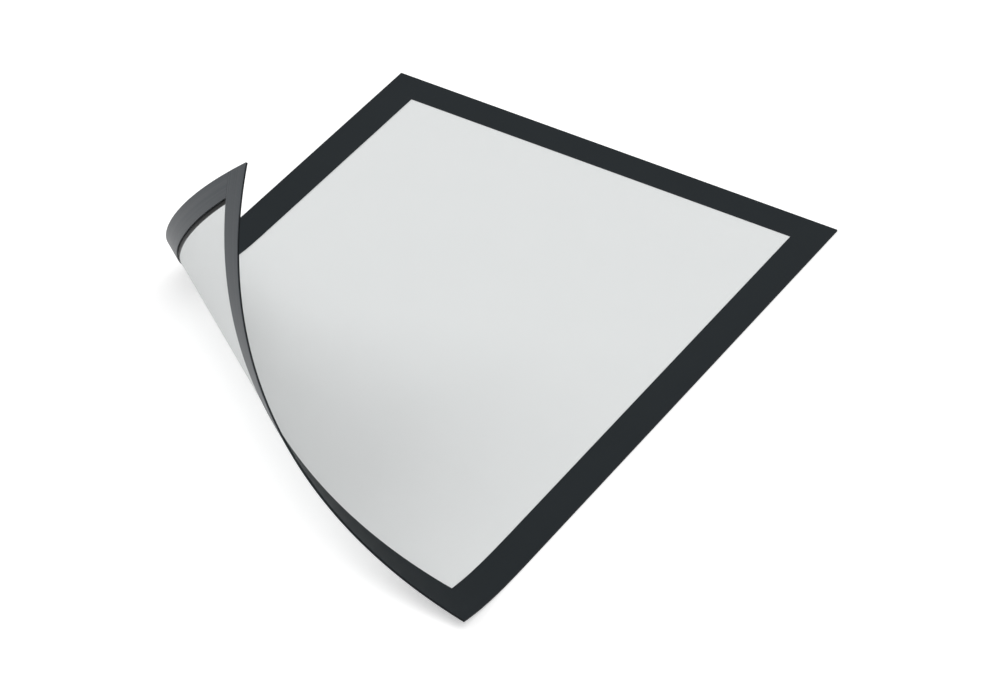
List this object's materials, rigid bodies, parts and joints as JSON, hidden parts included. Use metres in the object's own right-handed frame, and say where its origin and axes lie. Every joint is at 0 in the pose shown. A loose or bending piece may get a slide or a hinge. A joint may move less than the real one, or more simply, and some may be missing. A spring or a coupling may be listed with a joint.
{
  "type": "magnetic document pocket",
  "caption": "Flat magnetic-backed pocket for one A4 sheet, with a dark border, a clear window and a back slot, its lower left corner curled up.",
  "frame": {"origin": "under the middle of the pocket's box, on the surface that its magnetic back lies on", "axes": "+X across the page to the right, +Y up the page, +Z out of the front"},
  "size_m": [0.2364, 0.3226, 0.115],
  "materials": {
    "frame_plastic": "fine matt grain",
    "clear_film": "satin, anti-glare",
    "white_paper": "plain uncoated",
    "magnet_rubber": "matt with fine lengthwise lines"
  },
  "bodies": {
    "root": {"front_frame": "frame_plastic", "window_film": "clear_film", "document_sheet": "white_paper", "back_film": "clear_film", "top_strip": "magnet_rubber", "bottom_strip": "magnet_rubber", "left_strip": "magnet_rubber", "right_strip": "magnet_rubber"}
  },
  "joints": []
}
